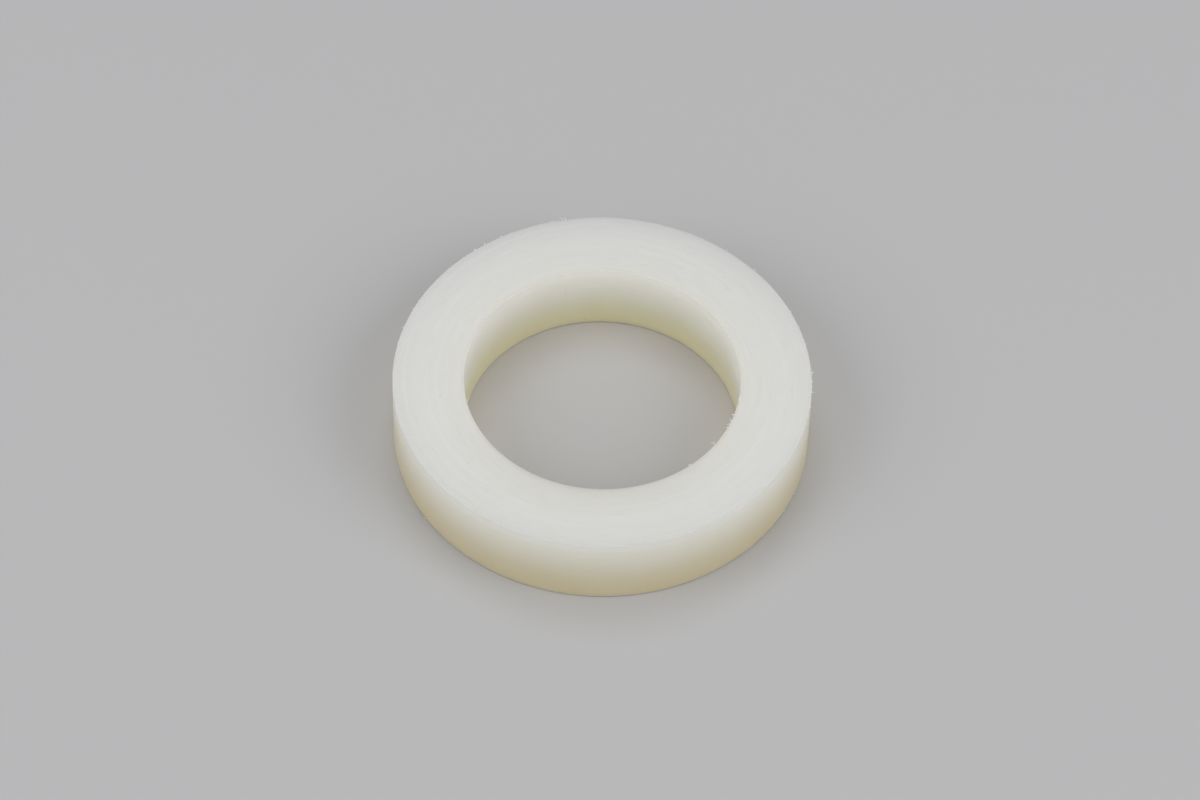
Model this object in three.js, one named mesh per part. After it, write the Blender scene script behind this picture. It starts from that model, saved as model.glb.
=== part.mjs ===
// A thick plain flat washer: one ring of natural polyamide (nylon), turned from thick-walled tube.
// Its two faces are flat and parallel, its outer wall and bore are plain cylinders on one axis, and its four
// edges are only broken, not chamfered to a size. Millimetres, +Z up along the bore's axis; the origin is the
// centre of the lower bearing face, which the washer rests on.

import * as THREE from "three";

// Driving dimensions.
const OUTER_DIAMETER = 50;
const BORE_DIAMETER = 33;
const THICKNESS = 10;
const EDGE_BREAK = 0.2; // radius of each of the four broken edges

// How finely the round shapes are divided.
const SIDES = 180;
const EDGE_BREAK_STEPS = 1; // a path divides an arc into twice this many straight pieces

// Natural polyamide: a warm off-white, satin where the tool has cut it.
const naturalNylon = new THREE.MeshStandardMaterial({
  name: "natural_nylon",
  color: new THREE.Color(0.8, 0.8, 0.75),
  roughness: 0.45,
  metalness: 0,
});

// Half of the ring's cross-section, as points of (radius, height), going round the section anticlockwise.
function ringSection(boreRadius, outerRadius, height, edgeBreak) {
  const section = new THREE.Path();
  section.moveTo(boreRadius + edgeBreak, 0);
  section.lineTo(outerRadius - edgeBreak, 0);
  section.absarc(outerRadius - edgeBreak, edgeBreak, edgeBreak, -Math.PI / 2, 0);
  section.absarc(outerRadius - edgeBreak, height - edgeBreak, edgeBreak, 0, Math.PI / 2);
  section.absarc(boreRadius + edgeBreak, height - edgeBreak, edgeBreak, Math.PI / 2, Math.PI);
  section.absarc(boreRadius + edgeBreak, edgeBreak, edgeBreak, Math.PI, (3 * Math.PI) / 2);
  section.closePath();
  return section.getPoints(EDGE_BREAK_STEPS);
}

// The washer: its section swept round the bore's axis, which LatheGeometry takes as +Y and is stood up to +Z here.
function washerRing() {
  const section = ringSection(BORE_DIAMETER / 2, OUTER_DIAMETER / 2, THICKNESS, EDGE_BREAK);
  const geometry = new THREE.LatheGeometry(section, SIDES);
  const ring = new THREE.Mesh(geometry, naturalNylon);
  ring.name = "washer_ring";
  ring.rotation.x = Math.PI / 2;
  return ring;
}

const washer = new THREE.Group();
washer.name = "flat_washer";
washer.add(washerRing());

export default washer;
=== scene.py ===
"""A thick flat washer, turned from natural nylon: its looks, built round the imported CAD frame.

The CAD ring is replaced by one closed mesh of the same size, swept round the bore's axis row by row. It
carries what turning leaves on soft plastic: a shallow spiral on each face, fine feed marks on the walls,
edges with small nubs, a few burrs that still hang on, and stretches of an edge with many small ones.
Lengths below are in millimetres unless they say otherwise.
"""

import math
from collections import namedtuple

import bpy
import numpy as np
from mathutils import Matrix, Vector


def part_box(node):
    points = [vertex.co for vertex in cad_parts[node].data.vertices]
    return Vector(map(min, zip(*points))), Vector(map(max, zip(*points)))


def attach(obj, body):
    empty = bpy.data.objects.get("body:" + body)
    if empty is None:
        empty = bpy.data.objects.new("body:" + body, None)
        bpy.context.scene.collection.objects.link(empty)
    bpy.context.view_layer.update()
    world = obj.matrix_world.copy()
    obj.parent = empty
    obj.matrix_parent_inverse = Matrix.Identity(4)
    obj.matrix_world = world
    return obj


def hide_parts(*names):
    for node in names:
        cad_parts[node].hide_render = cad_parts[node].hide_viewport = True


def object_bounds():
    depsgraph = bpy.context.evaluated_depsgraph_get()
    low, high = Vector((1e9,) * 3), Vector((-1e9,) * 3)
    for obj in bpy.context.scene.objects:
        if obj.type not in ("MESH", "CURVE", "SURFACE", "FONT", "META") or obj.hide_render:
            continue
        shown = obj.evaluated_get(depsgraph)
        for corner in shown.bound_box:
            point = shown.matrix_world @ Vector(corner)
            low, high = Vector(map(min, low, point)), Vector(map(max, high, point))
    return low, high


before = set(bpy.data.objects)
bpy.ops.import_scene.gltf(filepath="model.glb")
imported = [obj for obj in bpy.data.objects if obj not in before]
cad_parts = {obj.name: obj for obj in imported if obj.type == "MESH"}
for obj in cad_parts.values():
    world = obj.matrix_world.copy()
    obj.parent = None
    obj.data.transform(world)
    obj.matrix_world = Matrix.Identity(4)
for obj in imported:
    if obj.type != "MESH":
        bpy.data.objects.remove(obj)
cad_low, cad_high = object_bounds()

MM = 0.001  # a millimetre in Blender's metres
SEED = 41
TURN = 2 * math.pi

# --------------------------------------------------------------------------------------------------
# What the mesh is made of.

COLUMNS_AT_EDGE = 1440  # steps round the ring, fine enough for burrs a tenth of a millimetre wide
COLUMNS_AT_LOWER_EDGE = 720
COLUMNS_ON_FLAT = 360

EDGE_RADIUS = 0.2
EDGE_ARC_STEPS = 4
EDGE_BAND = (0.07, 0.16, 0.3)  # rows beside each edge, measured from where its arc ends

UPPER_FACE_SPACING = 0.16
LOWER_FACE_SPACING = 0.3
WALL_SPACING = 0.34

# Turning marks. On the faces the tool moved across as the ring went round, so its path is a spiral. Its
# grooves are rounded troughs between narrow crests, and a power below 1 makes the crests narrower.
FACE_PITCH = 1.28
FACE_GROOVE = 0.009  # its depth
TROUGH_POWER = 0.7
GROOVE_MEAN = 0.6  # how deep a groove is on average, against FACE_GROOVE
GROOVE_LIMITS = (0.1, 1.5)
GROOVE_TWIST = 0.35  # radians that its deep places move round for each millimetre of radius
WALL_PITCH = 1.5
WALL_GROOVE = 0.004

# The faces and walls are also a little wavy. Unevenness is a sum of waves: how many there are, and the
# count of crests round the ring that each of them stays under.
WAVINESS = 0.006
FACE_WAVE_TURN = 0.4  # radians of the waviness's phase for each millimetre of radius
WALL_WAVE_TWIST = 0.2  # radians that it moves round for each millimetre of height
GROOVE_WAVES = (7, 9)
BROAD_WAVES = (4, 4)
NUB_WAVES = (5, 9)
WAVE_SIZES = (0.4, 1.0)  # the smallest wave and the largest, against each other

# The four edges: which way a burr on it points in the ring's section, and how rough it is.
Edge = namedtuple("Edge", "outwards upwards nub_height nub_count")
EDGES = {
    "lower_outer": Edge(1.0, 0.0, 0.06, 130),
    "upper_outer": Edge(0.98, 0.2, 0.12, 190),
    "upper_bore": Edge(-0.98, 0.2, 0.1, 120),
    "lower_bore": Edge(-1.0, 0.0, 0.05, 90),
}

# Nubs: plastic smeared along the cut.
NUB_WIDTHS = (0.006, 0.03)  # radians round the ring
NUB_LEAST = 0.15  # the lowest nub, against the highest, before NUB_POWER
NUB_POWER = 3  # most nubs are low
NICK_SHARE = 0.25  # of the nubs that are hollows instead
NICK_DEPTH = -0.5
NUB_TAIL = 2.0  # how quickly a nub falls away on its long side
NUB_FRONT = 4.0  # and on its steep side
PATCH_MEAN = 0.6  # nubs are higher in some places: how high on average,
PATCH_SWING = 1.1  # by how much that changes,
PATCH_LIMITS = (0.15, 1.4)  # and the least and most of it

# Burrs big enough to stand off an edge: where round the ring, in degrees from +X towards +Y; how far they
# reach; how much they lean along the edge, against standing straight out; how much they curl up; and how
# many of the mesh's columns their root takes.
Burr = namedtuple("Burr", "edge angle reach lean curl columns")
BURRS = (
    Burr("upper_outer", 102.0, 0.42, 0.9, 0.2, 2),
    Burr("upper_outer", 101.2, 0.3, 0.3, 0.2, 2),
    Burr("upper_outer", 125.8, 0.26, -0.3, 0.2, 2),
    Burr("upper_outer", 129.0, 0.2, 0.5, 0.2, 3),
    Burr("upper_outer", 163.5, 0.26, 0.7, 0.1, 2),
    Burr("upper_outer", 53.7, 0.2, 0.8, 0.2, 2),
    Burr("upper_outer", 43.4, 0.22, -0.9, 0.2, 2),
    Burr("upper_outer", 3.4, 0.28, 0.2, 0.2, 2),
    Burr("upper_outer", -3.2, 0.32, -0.2, 0.1, 2),
    Burr("upper_outer", -8.4, 0.2, 0.4, 0.2, 2),
    Burr("upper_bore", -18.3, 0.36, -0.3, 0.2, 4),
    Burr("upper_bore", -21.9, 0.3, 1.2, 0.2, 4),
    Burr("upper_bore", -23.4, 0.36, -0.6, 0.2, 4),
    Burr("upper_bore", -25.6, 0.18, -0.3, 0.2, 4),
    Burr("upper_bore", -35.2, 0.6, -0.6, 0.1, 3),
    Burr("upper_bore", -50.8, 0.22, -1.2, 0.1, 6),
    Burr("upper_bore", -166.0, 0.6, -1.2, 0.2, 2),
    Burr("lower_outer", -21.6, 0.2, 0.4, 0.5, 1),
    Burr("lower_outer", -28.1, 0.24, -0.4, 0.4, 1),
    Burr("lower_outer", -65.0, 0.2, 0.5, 0.5, 1),
    Burr("lower_outer", -146.2, 0.26, -0.6, 0.4, 2),
)
# Stretches of an edge with many small burrs, from one angle to another in degrees.
Stretch = namedtuple("Stretch", "edge start end count")
STRETCHES = (
    Stretch("upper_bore", -30.5, -13.0, 8),
    Stretch("upper_bore", 8.0, 40.0, 4),
    Stretch("upper_bore", -176.0, -160.0, 4),
    Stretch("upper_outer", -12.0, 30.0, 6),
    Stretch("upper_outer", 104.0, 135.0, 4),
    Stretch("upper_outer", 150.0, 178.0, 4),
)
SMALL_BURR_REACH = (0.07, 0.17)
SMALL_BURR_LEAN = (-1.2, 1.2)
SMALL_BURR_CURL = (0.0, 0.3)
SMALL_BURR_COLUMNS = (1, 4)  # the second one isn't reached
BURR_ROOM = 6  # columns kept for each burr, so that no two grow from the same place
BURR_START = 0.2  # where in its room a small burr starts, against the room's width

BURR_STEPS = 6
BURR_WANDER = 0.13  # how far a burr's middle strays along the edge from a smooth curve, against its reach
BURR_WANDER_UP = 0.5  # how much of that it strays upwards too
BURR_RAGGED = (0.55, 1.1)  # how much thinner or thicker than a smooth taper it gets
BURR_TIP = 0.08  # how thick it ends, against its root
BURR_SHARE = 2.0  # how a burr's points are told from the edge's own, which have 1 at most

# --------------------------------------------------------------------------------------------------
# Camera, floor and lights.

CAMERA_LENS = 155.2
CAMERA_SENSOR = 36.0
CAMERA_CLIP = (10.0, 20000.0)
CAMERA_ELEVATION = 52.05  # degrees above the floor
CAMERA_ROLL = 1.508  # degrees, the right-hand side dipping
CAMERA_DISTANCE = 620.8
CAMERA_AIM = (-0.21, 0.54, 0.0)  # what it looks at, from the ring's centre

FLOOR_SIZE = 6000.0
FLOOR_DROP = 0.02  # below the ring's lower face, so that the two surfaces aren't one
FLOOR_COLOUR = (0.55, 0.55, 0.56)
FLOOR_ROUGHNESS = 0.85
FLOOR_SPECULAR = 0.2

OVERHEAD_SIZE = 450.0
OVERHEAD_PLACE = (-60.0, 330.0, 830.0)
OVERHEAD_POWER = 1.38
FRONT_SIZE = 600.0
FRONT_LEFT_PLACE = (-590.0, -315.0, 600.0)
FRONT_LEFT_POWER = 2.22
FRONT_RIGHT_PLACE = (590.0, -315.0, 600.0)
FRONT_RIGHT_POWER = 2.48
SKY_STRENGTH = 0.245
SKY_AT_HORIZON = 2.5  # against 1 overhead

# The nylon's colour by the distance down from an upper edge, which is negative on the upper face, with
# light and shade painted into it. Light that leaves a wall has come through the plastic from above, so it
# is yellower the further down it leaves: the walls' yellowing and brightness are painted light, and the
# darker stops just inside the upper face's outer rim are painted shade.
FACE_COLOUR = (0.785, 0.80, 0.755)
WALL_COLOURS_WITH_PAINTED_LIGHT = (
    (-4.0, FACE_COLOUR),
    (-1.2, (0.72, 0.73, 0.68)),
    (-0.1, (0.68, 0.685, 0.63)),
    (0.9, (0.735, 0.72, 0.62)),
    (5.0, (0.85, 0.76, 0.565)),
    (10.0, (0.80, 0.655, 0.365)),
)
BORE_COLOURS_WITH_PAINTED_LIGHT = (
    (-2.0, FACE_COLOUR),
    (0.5, (0.84, 0.845, 0.735)),
    (5.0, (1.0, 0.92, 0.70)),
    (10.0, (1.0, 0.82, 0.45)),
)
WALL_MARGIN = 1.0  # nearer to a wall than this, the faces have that wall's colours alone
UNDERSIDE_HEIGHTS = (0.2, 0.1)  # the lower face's colour starts at this height and is full at this one,
UNDERSIDE_INSETS = (0.3, 2.0)  # and it also starts and is full this far in from the walls
TOP_BAND = (0.3, 0.1)  # the upper face's marks start and are full this far below it
RIM_BAND = (1.8, 0.2)  # pits start and are thickest this far in from the outer wall

CLOUD_COLOUR = (0.84, 0.83, 0.79)
SMEAR_AND_CREST_HIGHLIGHT_COLOUR = (0.93, 0.93, 0.92)  # where the tool smeared the plastic and left it whiter, and the painted highlight along the spiral's crests
TORN_COLOUR = (0.5, 0.5, 0.46)
PIT_COLOUR = (0.45, 0.45, 0.41)
BURR_COLOUR = (0.86, 0.865, 0.83)
# Painted shade on the edges, against the bright line that their lighting would make.
EDGE_PAINTED_SHADE_COLOUR = (0.52, 0.52, 0.47)
FLECK_COLOUR = (0.35, 0.33, 0.30)
FLECK_SPACING = 1.2
FLECK_RADIUS = 0.14
FLECK_CORE = 0.6  # where a fleck is at full strength, against its radius
FLECK_SHARE = 0.05  # of the places where one could be
FLECK_FULL_SHARE = 0.045  # of the same places, with one at full strength
FLECK_STRENGTH = 0.25

# The noises that the marks come from: features to a millimetre, finer octaves, and how strong those are.
Noise = namedtuple("Noise", "scale detail roughness")
COARSE_NOISE = Noise(1.6, 1.0, 0.5)
FINE_NOISE = Noise(7.0, 2.0, 0.6)
TORN_NOISE = Noise(3.0, 3.0, 0.65)
BROKEN_NOISE = Noise(0.9, 1.0, 0.5)
GRAIN_NOISE = Noise(9.0, 3.0, 0.6)
CLOUD_NOISE = Noise(0.16, 2.0, 0.5)
PIT_NOISE = Noise(3.5, 2.0, 0.7)
SPECK_NOISE = Noise(3.5, 2.0, 0.6)

# A cut's noises run round the ring, and more arcs make their features shorter along it.
LONG_ARCS = 0.6
BROKEN_ARCS = 2.0
SHORT_ARCS = 2.5

# How a mark fades in with its noise: the noise's values at which that starts and ends, and the mark's share
# at each.
Fade = namedtuple("Fade", "start end share_at_start share_at_end")
CLOUDS = Fade(0.3, 0.7, 0.0, 0.05)
SMEARS = Fade(0.35, 0.75, 0.0, 0.04)
# The painted highlight along the spiral's crests on the upper face.
CREST_HIGHLIGHTS = Fade(0.35, 0.65, 0.03, 0.16)
UNBROKEN = Fade(0.42, 0.6, 0.1, 1.0)
TEARS = Fade(0.53, 0.75, 0.0, 1.0)
SMEARED_TEARS = Fade(0.45, 0.25, 0.0, 1.0)
TEAR_SHARES = (0.05, 0.15)  # on the walls and on the upper face
PITS = Fade(0.54, 0.68, 0.0, 0.28)
EDGE_SHADE = Fade(0.48, 0.68, 0.15, 0.05)
CREST_POWER = 3.0  # how narrow the painted highlight along a crest of the spiral is

# Roughness changes with a noise in the same way.
CUT_ROUGHNESS = Fade(0.3, 0.7, 0.36, 0.50)
GRAIN_ROUGHNESS = Fade(0.3, 0.7, -0.04, 0.04)
EDGE_ROUGHNESS = 0.48  # added on an edge
BUMP_STRENGTH = 0.25
BUMP_HEIGHT = 0.02
FINE_RELIEF = 0.7  # against 1 for the coarse cut
GRAIN_RELIEF = 0.25

# The subsurface radius. Light travels about a twelfth of it inside the plastic. It is less at the foot,
# where the unlit lower face would otherwise darken the walls.
REACH_ABOVE = 25.0
REACH_AT_FOOT = 2.0
FOOT_HEIGHTS = (0.0, 6.0)  # it goes from REACH_AT_FOOT to REACH_ABOVE between these heights
BURR_SUBSURFACE = 0.35  # against 1 elsewhere
NYLON_IOR = 1.53


def smooth_step(t):
    """Rises from 0 to 1 as t does, level at both ends."""
    t = np.clip(t, 0.0, 1.0)
    return t * t * (3 - 2 * t)


def around(first, second):
    """The angle from second to first, the short way round."""
    return (first - second + math.pi) % TURN - math.pi


# --------------------------------------------------------------------------------------------------
# The ring's section: rows that go once round it, anticlockwise with the radius to the right and the height
# up. A row has a normal, the edge that it is nearest to, and its share of that edge's nubs.

Row = namedtuple("Row", "radius height out_r out_z surface edge share columns")

# The ring's surfaces in the order that the rows meet them: which way each one faces in the section, the
# edges that it starts and ends at, and how far apart its rows are.
Surface = namedtuple("Surface", "name normal first_edge last_edge spacing")
SURFACES = (
    Surface("lower_face", (0.0, -1.0), "lower_bore", "lower_outer", LOWER_FACE_SPACING),
    Surface("outer_wall", (1.0, 0.0), "lower_outer", "upper_outer", WALL_SPACING),
    Surface("upper_face", (0.0, 1.0), "upper_outer", "upper_bore", UPPER_FACE_SPACING),
    Surface("bore_wall", (-1.0, 0.0), "upper_bore", "lower_bore", WALL_SPACING),
)


def edge_share(distance):
    """How much of an edge's nubs a row takes, by how far along the surface it is from the edge's arc."""
    return float((1 - smooth_step(distance / EDGE_BAND[-1])) ** 2)


def edge_columns(edge):
    return COLUMNS_AT_LOWER_EDGE if edge.startswith("lower") else COLUMNS_AT_EDGE


def flat_run(surface, start, end):
    """Rows of a face or wall, from one corner of the section to the next, less the arcs of its edges."""
    length = math.dist(start, end)
    along = ((end[0] - start[0]) / length, (end[1] - start[1]) / length)
    band_end = EDGE_RADIUS + EDGE_BAND[-1]
    near = [EDGE_RADIUS] + [EDGE_RADIUS + d for d in EDGE_BAND]
    steps = round((length - 2 * band_end) / surface.spacing)
    middle = list(np.linspace(band_end, length - band_end, steps + 1)[1:-1])
    far = [length - d for d in reversed(near)]
    distances = near + middle + far
    rows = []
    for i, distance in enumerate(distances):
        from_edge = min(distance, length - distance) - EDGE_RADIUS
        edge = surface.first_edge if distance < length / 2 else surface.last_edge
        # Past the band beside an edge, the columns halve on the way to the middle.
        rows_in = min(i, len(distances) - 1 - i)
        halvings = 0 if rows_in < len(EDGE_BAND) else max(1, rows_in - len(EDGE_BAND))
        columns = max(edge_columns(edge) >> halvings, COLUMNS_ON_FLAT)
        radius = start[0] + along[0] * distance
        height = start[1] + along[1] * distance
        share = edge_share(from_edge)
        rows.append(Row(radius, height, *surface.normal, surface.name, edge, share, columns))
    return rows


def edge_arc(corner, before, after):
    """Rows of the arc between two surfaces, less the two at its ends, which the surfaces make."""
    from_normal, to_normal, edge = before.normal, after.normal, before.last_edge
    centre = [c - (a + b) * EDGE_RADIUS for c, a, b in zip(corner, from_normal, to_normal)]
    rows = []
    for step in range(1, EDGE_ARC_STEPS):
        turn = 0.5 * math.pi * step / EDGE_ARC_STEPS
        out_r = from_normal[0] * math.cos(turn) + to_normal[0] * math.sin(turn)
        out_z = from_normal[1] * math.cos(turn) + to_normal[1] * math.sin(turn)
        radius = centre[0] + out_r * EDGE_RADIUS
        height = centre[1] + out_z * EDGE_RADIUS
        rows.append(Row(radius, height, out_r, out_z, "edge", edge, 1.0, edge_columns(edge)))
    return rows


def section_rows(bore, outer, height):
    """All the rows, starting at the bore's foot."""
    corners = ((bore, 0.0), (outer, 0.0), (outer, height), (bore, height))
    rows = []
    for i, surface in enumerate(SURFACES):
        j = (i + 1) % len(SURFACES)
        rows += flat_run(surface, corners[i], corners[j])
        rows += edge_arc(corners[j], surface, SURFACES[j])
    return rows


# --------------------------------------------------------------------------------------------------
# What the tool left: how far each point of the surface lies under its true flat or cylinder.

Waves = namedtuple("Waves", "groove broad")


def slow_noise(random, count, under):
    """A smooth function of the angle round the ring, between about -1 and 1, made of a few random waves."""
    orders = random.integers(1, under, count)
    phases = random.uniform(0, TURN, count)
    sizes = random.uniform(*WAVE_SIZES, count)

    def value(angle):
        total = sum(s * np.cos(o * angle + p) for o, p, s in zip(orders, phases, sizes))
        return total / sizes.sum()

    return value


def make_nubs(random, edge):
    """The height of an edge's nubs at any angle. Each is a ramp with a steep end."""
    centres = random.uniform(0, TURN, edge.nub_count)
    widths = random.uniform(*NUB_WIDTHS, edge.nub_count)
    heights = edge.nub_height * random.uniform(NUB_LEAST, 1.0, edge.nub_count) ** NUB_POWER
    heights *= np.where(random.random(edge.nub_count) < NICK_SHARE, NICK_DEPTH, 1.0)
    patches = slow_noise(random, *NUB_WAVES)
    heights *= np.clip(PATCH_MEAN + PATCH_SWING * patches(centres), *PATCH_LIMITS)

    def height(angle):
        total = np.zeros_like(angle)
        for centre, width, size in zip(centres, widths, heights):
            away = around(angle, centre) / width
            tail = np.exp(-NUB_TAIL * np.maximum(away, 0))
            front = np.exp(-((NUB_FRONT * away) ** 2))
            total += size * np.where(away > 0, tail, front)
        return total

    return height


def face_depth(radius, angle, waves):
    """The spiral that a facing cut leaves, deeper in some places than in others."""
    turns = radius / FACE_PITCH + angle / TURN
    trough = 0.5 - 0.5 * np.cos(TURN * turns)
    strength = np.clip(GROOVE_MEAN + waves.groove(angle + GROOVE_TWIST * radius), *GROOVE_LIMITS)
    broad = 0.5 + 0.5 * waves.broad(angle) * math.cos(FACE_WAVE_TURN * radius)
    return FACE_GROOVE * strength * trough**TROUGH_POWER + WAVINESS * broad


def wall_depth(height, angle, waves):
    """The helix that boring and turning leave on a wall, much fainter than on a face."""
    turns = height / WALL_PITCH + angle / TURN
    trough = 0.5 - 0.5 * np.cos(TURN * turns)
    broad = 0.5 + 0.5 * waves.broad(angle + WALL_WAVE_TWIST * height)
    return WALL_GROOVE * trough + WAVINESS * broad


# --------------------------------------------------------------------------------------------------
# The mesh.


def stitch(first, second, first_columns, second_columns):
    """Faces between two rows with as many columns or half as many, wound so that they point outwards."""
    faces = []
    if first_columns == second_columns:
        n = first_columns
        for j in range(n):
            k = (j + 1) % n
            faces.append((first + j, first + k, second + k, second + j))
    elif second_columns == 2 * first_columns:
        n = first_columns
        for j in range(n):
            k = (j + 1) % n
            left, mid, right = 2 * j, 2 * j + 1, (2 * j + 2) % second_columns
            faces.append((first + j, second + mid, second + left))
            faces.append((first + j, first + k, second + mid))
            faces.append((first + k, second + right, second + mid))
    elif first_columns == 2 * second_columns:
        n = second_columns
        for j in range(n):
            k = (j + 1) % n
            left, mid, right = 2 * j, 2 * j + 1, (2 * j + 2) % first_columns
            faces.append((first + left, first + mid, second + j))
            faces.append((first + mid, second + k, second + j))
            faces.append((first + mid, first + right, second + k))
    else:
        raise ValueError(f"can't stitch a row of {first_columns} columns to one of {second_columns}")
    return faces


def grow_burr(points, faces, shares, rows, starts, burr, random):
    """Draws a burr out of its edge's arc: takes a strip of faces away and draws its outline to a point."""
    arc = [i for i, row in enumerate(rows) if row.surface == "edge" and row.edge == burr.edge]
    low, high = arc[:2]
    columns = rows[low].columns
    first = round(math.radians(burr.angle) / TURN * columns) % columns
    strip = [(first + j) % columns for j in range(burr.columns + 1)]
    lower = [starts[low] + j for j in strip]
    upper = [starts[high] + j for j in strip]
    taken = {(lower[j], lower[j + 1], upper[j + 1], upper[j]) for j in range(burr.columns)}
    faces[:] = [f for f in faces if f not in taken]

    loop = lower + upper[::-1]
    base = np.array([points[i] for i in loop])
    middle = base.mean(0)
    angle = math.atan2(middle[1], middle[0])
    outward = np.array([math.cos(angle), math.sin(angle), 0.0])
    sideways = np.array([-math.sin(angle), math.cos(angle), 0.0])
    upward = np.array([0.0, 0.0, 1.0])
    edge = EDGES[burr.edge]
    stand = outward * edge.outwards + upward * edge.upwards
    stand /= np.linalg.norm(stand)

    previous = loop
    for step in range(1, BURR_STEPS + 1):
        t = step / BURR_STEPS
        path = stand * t + sideways * burr.lean * t * t + upward * burr.curl * t * t
        path += (sideways + BURR_WANDER_UP * upward) * random.uniform(-BURR_WANDER, BURR_WANDER)
        centre = middle + burr.reach * path
        taper = math.sqrt(1 - t) * random.uniform(*BURR_RAGGED) if step < BURR_STEPS else BURR_TIP
        ring = []
        for point in base:
            points.append(centre + (point - middle) * taper)
            shares.append(BURR_SHARE)
            ring.append(len(points) - 1)
        for j in range(len(ring)):
            k = (j + 1) % len(ring)
            faces.append((previous[j], previous[k], ring[k], ring[j]))
        previous = ring
    faces.append(tuple(previous))


def small_burrs(random):
    """The burrs of the rough stretches, clear of the big ones and of each other."""

    def room(angle):
        return round(angle * COLUMNS_AT_EDGE / 360) // BURR_ROOM

    taken = {(burr.edge, room(burr.angle)) for burr in BURRS}
    taken |= {(edge, place + side) for edge, place in taken for side in (-1, 1)}
    burrs = []
    for stretch in STRETCHES:
        first, last = room(stretch.start), room(stretch.end)
        free = [place for place in range(first, last) if (stretch.edge, place) not in taken]
        for place in random.choice(free, min(stretch.count, len(free)), replace=False):
            angle = (place + BURR_START) * BURR_ROOM * 360 / COLUMNS_AT_EDGE
            reach = random.uniform(*SMALL_BURR_REACH)
            lean = random.uniform(*SMALL_BURR_LEAN)
            curl = random.uniform(*SMALL_BURR_CURL)
            columns = int(random.integers(*SMALL_BURR_COLUMNS))
            burrs.append(Burr(stretch.edge, angle, reach, lean, curl, columns))
    return burrs


def washer_mesh(name, bore, outer, height):
    """The whole ring as one closed mesh, with each point's share of an edge, or BURR_SHARE, on it."""
    random = np.random.default_rng(SEED)
    waves = Waves(slow_noise(random, *GROOVE_WAVES), slow_noise(random, *BROAD_WAVES))
    nubs = {edge: make_nubs(random, EDGES[edge]) for edge in EDGES}
    rows = section_rows(bore, outer, height)

    points, shares, starts = [], [], []
    for row in rows:
        angle = np.arange(row.columns) * TURN / row.columns
        depth = np.zeros_like(angle)
        if row.surface in ("upper_face", "lower_face"):
            depth = face_depth(row.radius, angle, waves) * (1 - row.share)
        elif row.surface in ("outer_wall", "bore_wall"):
            depth = wall_depth(row.height, angle, waves) * (1 - row.share)
        edge = EDGES[row.edge]
        nub = row.share * nubs[row.edge](angle)
        r = row.radius - row.out_r * depth + edge.outwards * nub
        z = row.height - row.out_z * depth + edge.upwards * np.maximum(nub, 0)
        starts.append(len(points))
        points += list(np.stack([r * np.cos(angle), r * np.sin(angle), z], axis=1))
        shares += [row.share] * row.columns

    faces = []
    for i, row in enumerate(rows):
        j = (i + 1) % len(rows)
        faces += stitch(starts[i], starts[j], row.columns, rows[j].columns)
    for burr in (*BURRS, *small_burrs(random)):
        grow_burr(points, faces, shares, rows, starts, burr, random)

    mesh = bpy.data.meshes.new(name)
    mesh.from_pydata([tuple(p * MM) for p in points], [], faces)
    mesh.polygons.foreach_set("use_smooth", [True] * len(mesh.polygons))
    edge_attribute = mesh.attributes.new("edge", "FLOAT", "POINT")
    edge_attribute.data.foreach_set("value", np.array(shares, np.float32))
    mesh.update()
    return mesh


# --------------------------------------------------------------------------------------------------
# Materials.


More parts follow.
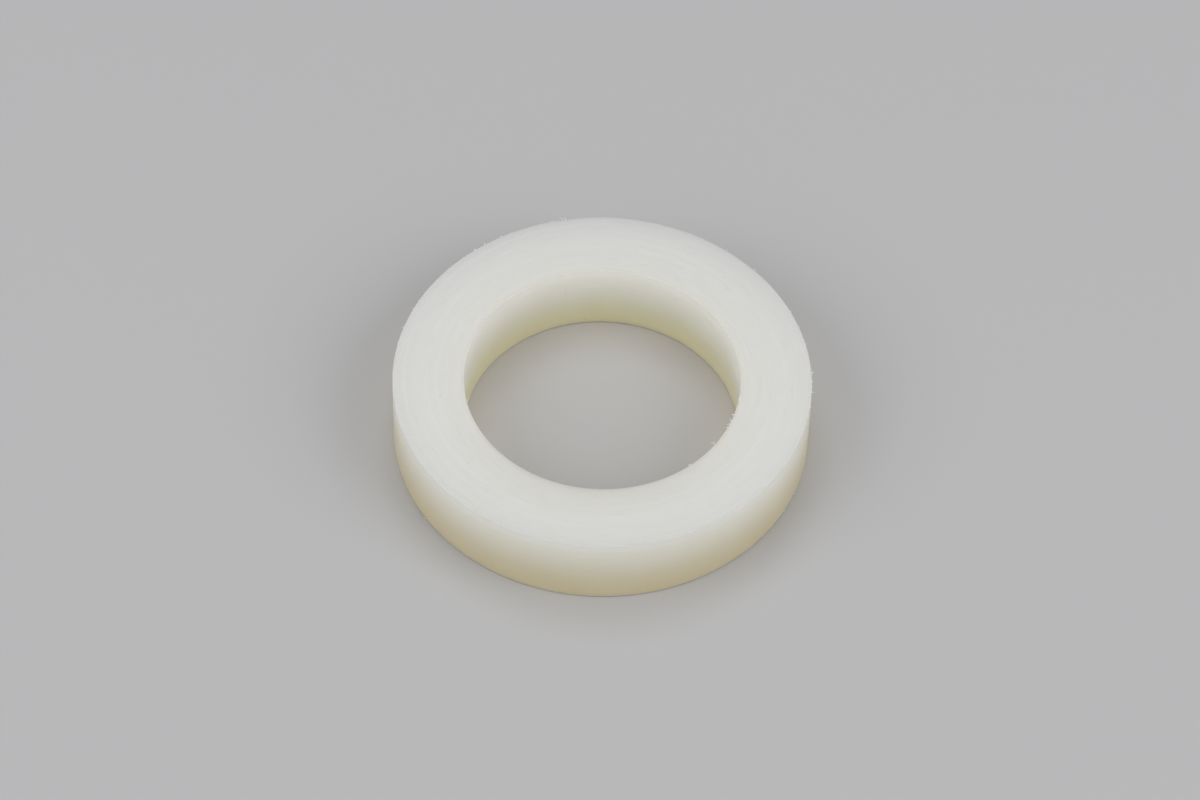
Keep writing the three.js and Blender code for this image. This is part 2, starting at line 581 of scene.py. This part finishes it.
class Nodes:
    """Short ways to add and join the nodes of a material or a world."""

    def __init__(self, owner):
        owner.use_nodes = True
        self.tree = owner.node_tree
        self.tree.nodes.clear()

    def add(self, kind, **settings):
        node = self.tree.nodes.new(kind)
        for key, value in settings.items():
            setattr(node, key, value)
        return node

    def feed(self, socket, value):
        """Joins a socket to another one, or sets it to a fixed value."""
        if isinstance(value, bpy.types.NodeSocket):
            self.tree.links.new(value, socket)
        else:
            socket.default_value = value

    def math(self, operation, *values):
        node = self.add("ShaderNodeMath", operation=operation)
        for socket, value in zip(node.inputs, values):
            self.feed(socket, value)
        return node.outputs[0]

    def times(self, product, *others):
        for value in others:
            product = self.math("MULTIPLY", product, value)
        return product

    def plus(self, total, *others):
        for value in others:
            total = self.math("ADD", total, value)
        return total

    def combine(self, x, y, z):
        node = self.add("ShaderNodeCombineXYZ")
        for socket, value in zip(node.inputs, (x, y, z)):
            self.feed(socket, value)
        return node.outputs[0]

    def noise(self, vector, kind, w=None):
        node = self.add("ShaderNodeTexNoise", noise_dimensions="3D" if w is None else "4D")
        self.feed(node.inputs["Vector"], vector)
        node.inputs["Scale"].default_value = kind.scale
        node.inputs["Detail"].default_value = kind.detail
        node.inputs["Roughness"].default_value = kind.roughness
        if w is not None:
            self.feed(node.inputs["W"], w)
        return node.outputs["Fac"]

    def spread(self, value, low, high, to_low=0.0, to_high=1.0, smooth=True):
        """Maps a value from one range onto another, held at its ends. A range may run downwards."""
        node = self.add("ShaderNodeMapRange", interpolation_type="SMOOTHSTEP" if smooth else "LINEAR")
        self.feed(node.inputs["Value"], value)
        ends = {"From Min": low, "From Max": high, "To Min": to_low, "To Max": to_high}
        for key, number in ends.items():
            node.inputs[key].default_value = number
        return node.outputs["Result"]

    def ramp(self, value, stops):
        """Colours along a value. Each stop is a value and its colour, and a smooth curve follows them."""
        low, high = stops[0][0], stops[-1][0]
        node = self.add("ShaderNodeValToRGB")
        self.feed(node.inputs[0], self.spread(value, low, high, smooth=False))
        colours = node.color_ramp
        colours.interpolation = "B_SPLINE"
        for place, _ in stops[1:-1]:
            colours.elements.new((place - low) / (high - low))
        for element, (_, colour) in zip(colours.elements, stops):
            element.color = (*colour, 1.0)
        return node.outputs["Color"]

    def mix(self, share, first, second):
        """From the first colour, at a share of 0, to the second, which is a socket or three numbers."""
        node = self.add("ShaderNodeMix", data_type="RGBA")
        # Its sockets for numbers, vectors and colours share their names, so they go by their places.
        self.feed(node.inputs[0], share)
        self.feed(node.inputs[6], first)
        self.feed(node.inputs[7], (*second, 1.0) if isinstance(second, tuple) else second)
        return node.outputs[2]


Place = namedtuple("Place", "point x y z radius edge")


def ring_place(nodes):
    """Sockets for where on the ring a point is, in millimetres, and for the mesh's edge attribute there."""
    in_mm = nodes.add("ShaderNodeVectorMath", operation="SCALE")
    nodes.feed(in_mm.inputs[0], nodes.add("ShaderNodeTexCoord").outputs["Object"])
    in_mm.inputs["Scale"].default_value = 1 / MM
    point = in_mm.outputs[0]
    split = nodes.add("ShaderNodeSeparateXYZ")
    nodes.feed(split.inputs[0], point)
    x, y, z = split.outputs
    radius = nodes.math("SQRT", nodes.plus(nodes.times(x, x), nodes.times(y, y)))
    edge = nodes.add("ShaderNodeAttribute", attribute_name="edge").outputs["Fac"]
    return Place(point, x, y, z, radius, edge)


def lathe_place(nodes, place, arcs):
    """A place to look a noise up at, so that its features run round the ring."""
    east = nodes.math("DIVIDE", place.x, place.radius)
    north = nodes.math("DIVIDE", place.y, place.radius)
    return nodes.combine(place.radius, nodes.times(east, arcs), nodes.times(north, arcs))


def spiral_crests(nodes, place):
    """1 along the crests of the mesh's own spiral, falling to 0 in its troughs."""
    angle = nodes.math("ARCTAN2", place.y, place.x)
    turns = nodes.plus(nodes.math("DIVIDE", place.radius, FACE_PITCH), nodes.math("DIVIDE", angle, TURN))
    wave = nodes.math("COSINE", nodes.times(turns, TURN))
    return nodes.math("POWER", nodes.plus(nodes.times(wave, 0.5), 0.5), CREST_POWER)


def flecks(nodes, place):
    """Rare specks that the granules brought with them: their strength inside one, and 0 elsewhere."""
    cells = nodes.add("ShaderNodeTexVoronoi")
    nodes.feed(cells.inputs["Vector"], place.point)
    cells.inputs["Scale"].default_value = 1 / FLECK_SPACING
    chance = nodes.add("ShaderNodeSeparateColor")
    nodes.feed(chance.inputs[0], cells.outputs["Color"])
    away = nodes.times(cells.outputs["Distance"], FLECK_SPACING)
    inside = nodes.spread(away, FLECK_RADIUS, FLECK_CORE * FLECK_RADIUS)
    chosen = nodes.spread(chance.outputs[0], FLECK_SHARE, FLECK_FULL_SHARE, 0.0, FLECK_STRENGTH)
    return nodes.times(inside, chosen)


def colour_with_painted_light(nodes, place, bore, outer, height):
    """The plastic's colour with light painted into it, by how far a point is from the upper edge along the
    surface: painted light down the walls, painted shade along the upper face's outer rim.
    """
    past_bore = nodes.math("SUBTRACT", bore, place.radius)
    past_outer = nodes.math("SUBTRACT", place.radius, outer)
    beyond = nodes.math("MINIMUM", nodes.math("MAXIMUM", past_bore, past_outer), 0.0)
    depth = nodes.plus(nodes.math("SUBTRACT", height, place.z), beyond)
    outside = nodes.spread(place.radius, bore + WALL_MARGIN, outer - WALL_MARGIN)
    # The ramps hold painted light: walls yellower and brighter downwards, and a painted shade along the
    # upper face's outer rim.
    colour = nodes.mix(outside, nodes.ramp(depth, BORE_COLOURS_WITH_PAINTED_LIGHT), nodes.ramp(depth, WALL_COLOURS_WITH_PAINTED_LIGHT))
    low_down = nodes.spread(place.z, *UNDERSIDE_HEIGHTS)
    far_in = nodes.spread(beyond, *(-inset for inset in UNDERSIDE_INSETS))
    return nodes.mix(nodes.times(low_down, far_in), colour, FACE_COLOUR)


def cut_marks(nodes, colour, place, coarse, fine, outer, height):
    """Adds what the tool left: pale smears, torn spots and pits along the upper face's rim, and a painted
    highlight along the crests of the upper face's spiral.
    """
    on_top = nodes.spread(place.z, *(height - band for band in TOP_BAND))
    unbroken = nodes.spread(nodes.noise(lathe_place(nodes, place, BROKEN_ARCS), BROKEN_NOISE), *UNBROKEN)

    colour = nodes.mix(nodes.spread(nodes.noise(place.point, CLOUD_NOISE), *CLOUDS), colour, CLOUD_COLOUR)
    colour = nodes.mix(nodes.spread(fine, *SMEARS), colour, SMEAR_AND_CREST_HIGHLIGHT_COLOUR)
    # Painted highlight: the upper face's spiral crests are painted whiter, standing in for the light that
    # catches them.
    crest_highlights = nodes.times(spiral_crests(nodes, place), nodes.spread(coarse, *CREST_HIGHLIGHTS), on_top, unbroken)
    colour = nodes.mix(crest_highlights, colour, SMEAR_AND_CREST_HIGHLIGHT_COLOUR)

    torn = nodes.noise(lathe_place(nodes, place, SHORT_ARCS), TORN_NOISE, place.z)
    torn_share = nodes.spread(on_top, 0.0, 1.0, *TEAR_SHARES)
    colour = nodes.mix(nodes.times(torn_share, nodes.spread(torn, *TEARS)), colour, TORN_COLOUR)
    colour = nodes.mix(nodes.times(torn_share, nodes.spread(torn, *SMEARED_TEARS)), colour, SMEAR_AND_CREST_HIGHLIGHT_COLOUR)

    rim = nodes.times(nodes.spread(place.radius, *(outer - band for band in RIM_BAND)), on_top)
    pits = nodes.times(nodes.spread(nodes.noise(place.point, PIT_NOISE), *PITS), unbroken)
    return nodes.mix(nodes.times(rim, pits), colour, PIT_COLOUR)


def burr_colour_and_edge_shade(nodes, colour, place):
    """Makes the burrs paler than the rest, and darkens the edges with a painted shade."""
    colour = nodes.mix(nodes.spread(place.edge, 1.0, BURR_SHARE), colour, BURR_COLOUR)
    # A thin edge is lit from both sides, which would make it a bright line, so it is a little darker.
    on_edge = nodes.spread(place.edge, 0.0, 1.0, smooth=False)
    shade = nodes.spread(nodes.noise(place.point, SPECK_NOISE), *EDGE_SHADE)
    not_burr = nodes.spread(place.edge, 1.0, BURR_SHARE, 1.0, 0.0)
    return nodes.mix(nodes.times(on_edge, shade, not_burr), colour, EDGE_PAINTED_SHADE_COLOUR)


def nylon(bore, outer, height):
    """Natural nylon as turned: milky and a little warm, with light that travels about 2 mm inside it."""
    material = bpy.data.materials.new("turned_natural_nylon")
    nodes = Nodes(material)
    place = ring_place(nodes)
    long_arcs = lathe_place(nodes, place, LONG_ARCS)
    coarse = nodes.noise(long_arcs, COARSE_NOISE, place.z)
    fine = nodes.noise(long_arcs, FINE_NOISE, place.z)
    grain = nodes.noise(place.point, GRAIN_NOISE)

    colour = colour_with_painted_light(nodes, place, bore, outer, height)
    colour = cut_marks(nodes, colour, place, coarse, fine, outer, height)
    colour = nodes.mix(flecks(nodes, place), colour, FLECK_COLOUR)
    colour = burr_colour_and_edge_shade(nodes, colour, place)

    on_edge = nodes.times(nodes.math("MINIMUM", place.edge, 1.0), EDGE_ROUGHNESS)
    rough = nodes.plus(nodes.spread(fine, *CUT_ROUGHNESS), nodes.spread(grain, *GRAIN_ROUGHNESS), on_edge)

    bump = nodes.add("ShaderNodeBump")
    bump.inputs["Strength"].default_value = BUMP_STRENGTH
    bump.inputs["Distance"].default_value = BUMP_HEIGHT * MM
    relief = nodes.plus(nodes.times(fine, FINE_RELIEF), coarse, nodes.times(grain, GRAIN_RELIEF))
    nodes.feed(bump.inputs["Height"], relief)

    shader = nodes.add("ShaderNodeBsdfPrincipled")
    nodes.feed(shader.inputs["Base Color"], colour)
    nodes.feed(shader.inputs["Roughness"], rough)
    nodes.feed(shader.inputs["Normal"], bump.outputs[0])
    shader.inputs["IOR"].default_value = NYLON_IOR
    subsurface = nodes.spread(place.edge, 1.0, BURR_SHARE, 1.0, BURR_SUBSURFACE)
    nodes.feed(shader.inputs["Subsurface Weight"], subsurface)
    reach = nodes.spread(place.z, *FOOT_HEIGHTS, REACH_AT_FOOT * MM, REACH_ABOVE * MM)
    nodes.feed(shader.inputs["Subsurface Radius"], nodes.combine(reach, reach, reach))
    shader.inputs["Subsurface Scale"].default_value = 1.0
    shader.inputs["Subsurface Anisotropy"].default_value = 0.0
    out = nodes.add("ShaderNodeOutputMaterial")
    nodes.feed(out.inputs["Surface"], shader.outputs[0])
    return material


def floor_material():
    material = bpy.data.materials.new("pale_floor")
    nodes = Nodes(material)
    shader = nodes.add("ShaderNodeBsdfPrincipled")
    shader.inputs["Base Color"].default_value = (*FLOOR_COLOUR, 1.0)
    shader.inputs["Roughness"].default_value = FLOOR_ROUGHNESS
    shader.inputs["Specular IOR Level"].default_value = FLOOR_SPECULAR
    out = nodes.add("ShaderNodeOutputMaterial")
    nodes.feed(out.inputs["Surface"], shader.outputs[0])
    return material


# --------------------------------------------------------------------------------------------------
# Making it all.


def put_in_scene(name, data):
    made = bpy.data.objects.new(name, data)
    bpy.context.scene.collection.objects.link(made)
    return made


def make_washer():
    low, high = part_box("washer_ring")
    outer = (high.x - low.x) / 2 / MM
    bore = min(math.hypot(v.co.x, v.co.y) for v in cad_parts["washer_ring"].data.vertices) / MM
    height = (high.z - low.z) / MM
    ring = put_in_scene("washer_ring_fine", washer_mesh("washer_ring_fine", bore, outer, height))
    ring.data.materials.append(nylon(bore, outer, height))
    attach(ring, "root")
    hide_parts("washer_ring")


def make_floor():
    half = FLOOR_SIZE / 2 * MM
    drop = cad_low.z - FLOOR_DROP * MM
    mesh = bpy.data.meshes.new("floor")
    corners = [(-half, -half, drop), (half, -half, drop), (half, half, drop), (-half, half, drop)]
    mesh.from_pydata(corners, [], [(0, 1, 2, 3)])
    floor = put_in_scene("floor", mesh)
    floor.data.materials.append(floor_material())


def make_camera():
    centre = (cad_low + cad_high) / 2
    aim = centre + Vector(CAMERA_AIM) * MM
    rise = math.radians(CAMERA_ELEVATION)
    back = Vector((0, -math.cos(rise), math.sin(rise)))
    data = bpy.data.cameras.new("camera")
    data.lens = CAMERA_LENS
    data.sensor_width = CAMERA_SENSOR
    data.clip_start = CAMERA_CLIP[0] * MM
    data.clip_end = CAMERA_CLIP[1] * MM
    camera = put_in_scene("camera", data)
    turned = (-back).to_track_quat("-Z", "Y").to_matrix()
    roll = Matrix.Rotation(math.radians(CAMERA_ROLL), 3, "Z")
    camera.matrix_world = Matrix.Translation(aim + back * CAMERA_DISTANCE * MM) @ (turned @ roll).to_4x4()
    bpy.context.scene.camera = camera


def make_softbox(name, size, place, power):
    """A square soft light that points at the ring."""
    data = bpy.data.lights.new(name, "AREA")
    data.shape = "SQUARE"
    data.size = size * MM
    data.energy = power
    light = put_in_scene(name, data)
    light.location = Vector(place) * MM
    light.rotation_mode = "QUATERNION"
    light.rotation_quaternion = (-light.location).to_track_quat("-Z", "Y")


def make_lights():
    make_softbox("overhead_softbox", OVERHEAD_SIZE, OVERHEAD_PLACE, OVERHEAD_POWER)
    make_softbox("front_left_softbox", FRONT_SIZE, FRONT_LEFT_PLACE, FRONT_LEFT_POWER)
    make_softbox("front_right_softbox", FRONT_SIZE, FRONT_RIGHT_PLACE, FRONT_RIGHT_POWER)

    world = bpy.data.worlds.new("studio")
    bpy.context.scene.world = world
    nodes = Nodes(world)
    direction = nodes.add("ShaderNodeTexCoord").outputs["Generated"]
    split = nodes.add("ShaderNodeSeparateXYZ")
    nodes.feed(split.inputs[0], direction)
    level = nodes.spread(split.outputs[2], 0.0, 1.0, SKY_AT_HORIZON, 1.0, smooth=False)
    sky = nodes.add("ShaderNodeBackground")
    nodes.feed(sky.inputs["Color"], nodes.combine(level, level, level))
    sky.inputs["Strength"].default_value = SKY_STRENGTH
    out = nodes.add("ShaderNodeOutputWorld")
    nodes.feed(out.inputs["Surface"], sky.outputs[0])


make_washer()
make_floor()
make_camera()
make_lights()
bpy.context.scene.view_settings.view_transform = "Standard"

bpy.context.view_layer.update()
